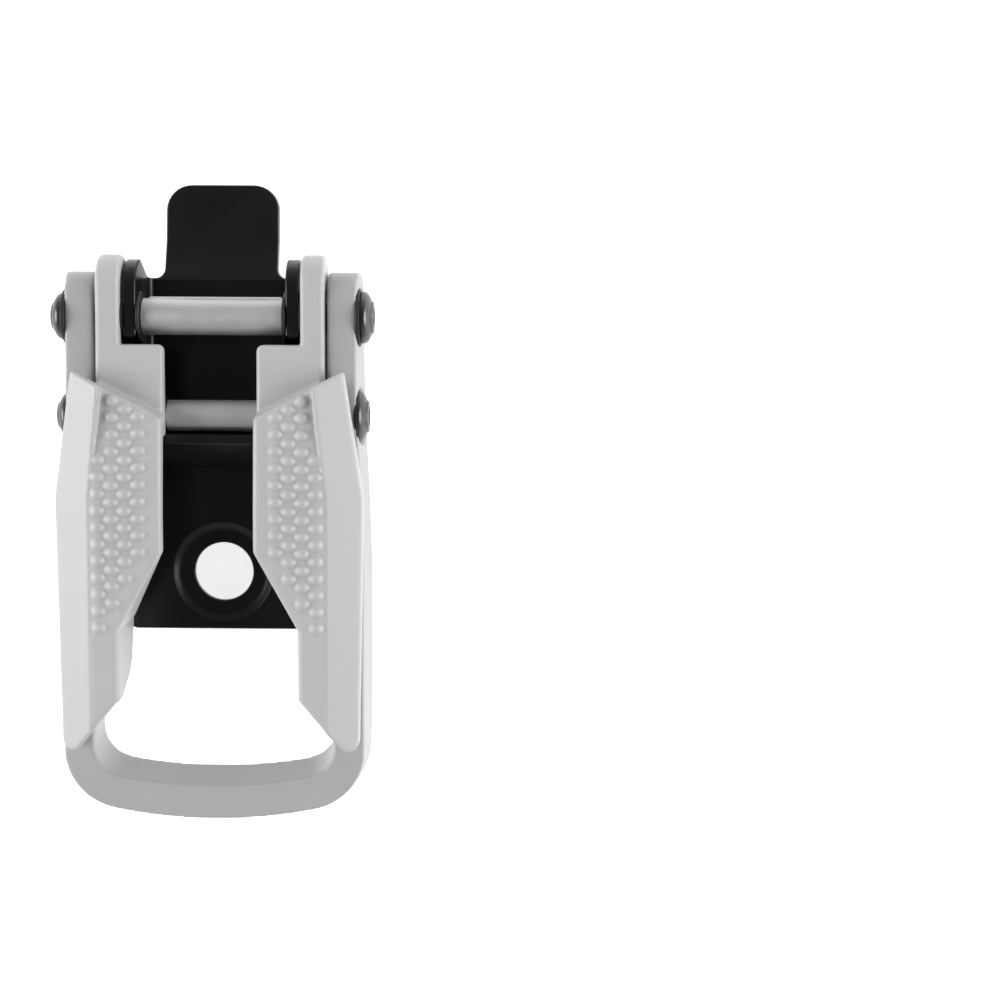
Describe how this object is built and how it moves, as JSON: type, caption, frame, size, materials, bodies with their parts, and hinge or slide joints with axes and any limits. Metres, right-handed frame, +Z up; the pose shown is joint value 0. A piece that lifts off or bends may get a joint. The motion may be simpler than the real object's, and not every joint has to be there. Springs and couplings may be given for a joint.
{
  "type": "binding ratchet buckle",
  "caption": "Ratchet buckle for a snow binding strap: steel channel, release loop, lifting wings on a keyed drum axle and a sprung holding pawl.",
  "frame": {"origin": "centre of the mounting hole, on the underside of the channel floor", "axes": "+X to the right, +Y to the front, where the ladder strap enters, +Z up, along the mounting hole"},
  "size_m": [0.0494, 0.0987, 0.0218],
  "materials": {
    "black_steel": "gloss black powder coat",
    "cast_grey": "satin light grey paint on cast aluminium",
    "satin_nickel": "satin nickel plate on steel",
    "dark_nickel": "dark nickel plate on steel",
    "black_nylon": "moulded black nylon",
    "spring_steel": "drawn spring wire"
  },
  "bodies": {
    "channel": {"base_channel": "black_steel", "shim_washer_left": "black_nylon", "shim_washer_right": "black_nylon"},
    "release": {"release_loop": "cast_grey", "loop_bush_left": "black_nylon", "loop_bush_right": "black_nylon", "pawl_axle": "dark_nickel", "pawl_axle_cap": "dark_nickel", "pawl_sleeve": "satin_nickel", "pawl_spring_left": "spring_steel", "pawl_spring_right": "spring_steel"},
    "wings": {"left_wing": "cast_grey", "right_wing": "cast_grey", "drum_axle": "dark_nickel", "drum_axle_cap": "dark_nickel", "drive_drum": "satin_nickel", "axle_bush_left": "black_nylon", "axle_bush_right": "black_nylon"},
    "pawl": {"holding_pawl": "black_steel"}
  },
  "joints": [
    {"name": "release_lift", "type": "hinge", "parent": "channel", "child": "release", "pos_m": [0, 0.0406, 0.0094], "axis": [-1, 0, 0], "range_deg": [0, 30]},
    {"name": "wing_lift", "type": "hinge", "parent": "release", "child": "wings", "pos_m": [0, 0.0406, 0.0094], "axis": [-1, 0, 0], "range_deg": [0, 70]},
    {"name": "pawl_tilt", "type": "hinge", "parent": "release", "child": "pawl", "pos_m": [0, 0.0254, 0.0094], "axis": [-1, 0, 0], "range_deg": [0, 32], "stiffness_Nm_per_rad": 0.004, "springref_deg": -34.38, "deforming": ["pawl_spring_left", "pawl_spring_right"]}
  ]
}
